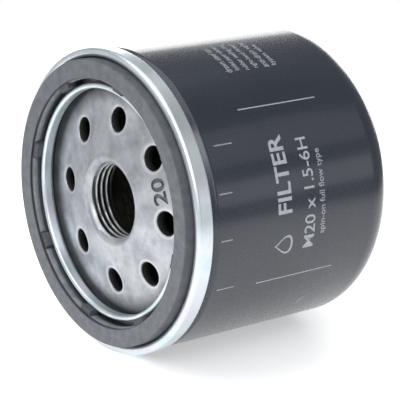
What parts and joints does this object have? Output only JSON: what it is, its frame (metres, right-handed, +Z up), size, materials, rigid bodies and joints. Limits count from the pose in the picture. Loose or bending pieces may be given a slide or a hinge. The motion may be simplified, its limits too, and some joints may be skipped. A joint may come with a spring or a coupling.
{
  "type": "spin-on oil filter",
  "caption": "Spin-on engine oil filter: painted steel can seamed to a zinc-plated lid, rubber gasket, threaded plate with inlet holes, pleated element and valves inside.",
  "frame": {"origin": "centre of the gasket's flat sealing face", "axes": "+Y along the filter's axis from the sealing face into the can, towards the closed end; -Y is the side that screws on to the engine; +Z up, with the filter lying on its side"},
  "size_m": [0.076, 0.064, 0.076],
  "materials": {
    "can_paint": "gloss dark grey enamel",
    "lid_zinc": "bright zinc plate",
    "gasket_rubber": "moulded nitrile rubber, dusted grey",
    "compound": "cured latex compound",
    "plate_steel": "satin zinc-plated plate",
    "valve_rubber": "soft black nitrile rubber",
    "cap_steel": "tinned sheet",
    "tube_steel": "bright rolled strip",
    "adhesive": "plastisol adhesive",
    "filter_paper": "resin-treated filter paper",
    "spring_steel": "drawn spring wire"
  },
  "bodies": {
    "housing": {"canister": "can_paint", "seaming_lid": "lid_zinc", "sealing_gasket": "gasket_rubber", "seam_compound": "compound", "tapping_plate": "plate_steel", "anti_drain_collar": "valve_rubber", "support_spring": "spring_steel"},
    "flap": {"anti_drain_flap": "valve_rubber"},
    "element": {"lower_end_cap": "cap_steel", "upper_end_cap": "cap_steel", "lower_potting": "adhesive", "upper_potting": "adhesive", "centre_tube": "tube_steel", "pleated_media": "filter_paper", "media_seam_clip": "cap_steel", "pleat_beads": "adhesive", "bypass_cage": "cap_steel", "bypass_spring": "spring_steel"},
    "bypass_valve": {"bypass_disc": "tube_steel", "bypass_seal": "valve_rubber"}
  },
  "joints": [
    {"name": "flap_lift", "type": "slide", "parent": "housing", "child": "flap", "axis": [0, 1, 0], "range_m": [0, 0.0012], "stiffness_N_per_m": 150},
    {"name": "element_float", "type": "slide", "parent": "housing", "child": "element", "axis": [0, 1, 0], "range_m": [0, 0.0015], "stiffness_N_per_m": 5000, "springref_m": -0.008, "deforming": ["support_spring"]},
    {"name": "bypass_open", "type": "slide", "parent": "element", "child": "bypass_valve", "axis": [0, -1, 0], "range_m": [0, 0.003], "stiffness_N_per_m": 800, "springref_m": -0.02, "deforming": ["bypass_spring"]}
  ]
}
